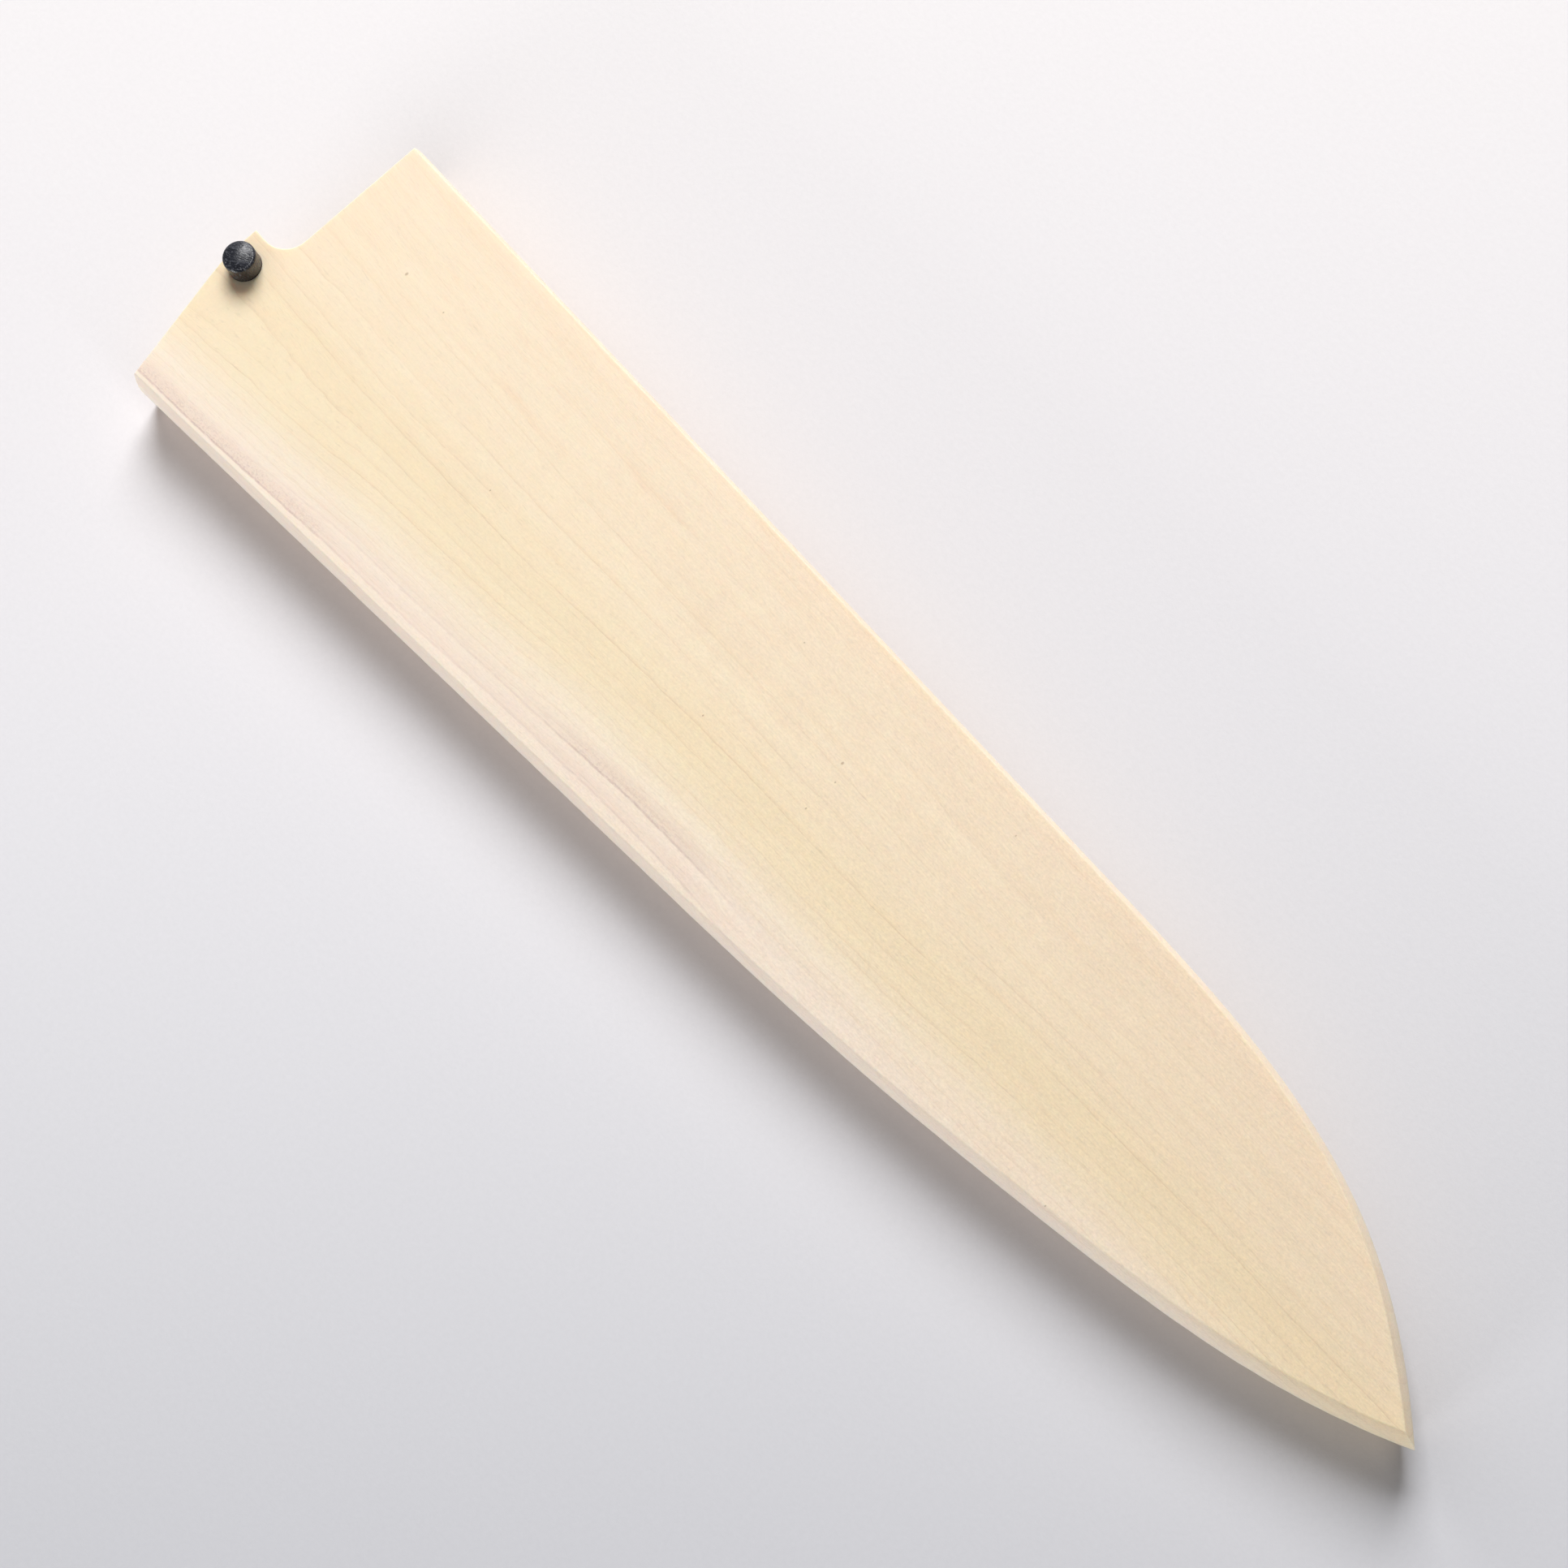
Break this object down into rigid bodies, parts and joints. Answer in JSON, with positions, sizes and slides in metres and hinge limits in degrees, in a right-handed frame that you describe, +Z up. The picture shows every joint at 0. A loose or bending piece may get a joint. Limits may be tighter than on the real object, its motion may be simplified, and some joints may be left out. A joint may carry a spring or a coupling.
{
  "type": "knife sheath",
  "caption": "Pale wooden sheath for a chef's knife, crowned sides, stepped mouth and tongue, with a dark tapered locking pin that pulls out.",
  "frame": {"origin": "on the back face, under the middle of the sheath's length and width", "axes": "+X runs along the sheath towards the tip, +Y towards the side of the blade's spine, +Z up out of the front face, the way the pin pulls out"},
  "size_m": [0.264, 0.0604, 0.0174],
  "materials": {
    "pale_wood_front": "sanded, unvarnished",
    "pale_wood_back": "sanded, unvarnished",
    "dark_wood_pin": "polished"
  },
  "bodies": {
    "sheath": {"front_half": "pale_wood_front", "back_half": "pale_wood_back"},
    "pin": {"locking_pin": "dark_wood_pin"}
  },
  "joints": [
    {"name": "pin_slide", "type": "slide", "parent": "sheath", "child": "pin", "axis": [0, 0, 1], "range_m": [0, 0.018]}
  ]
}
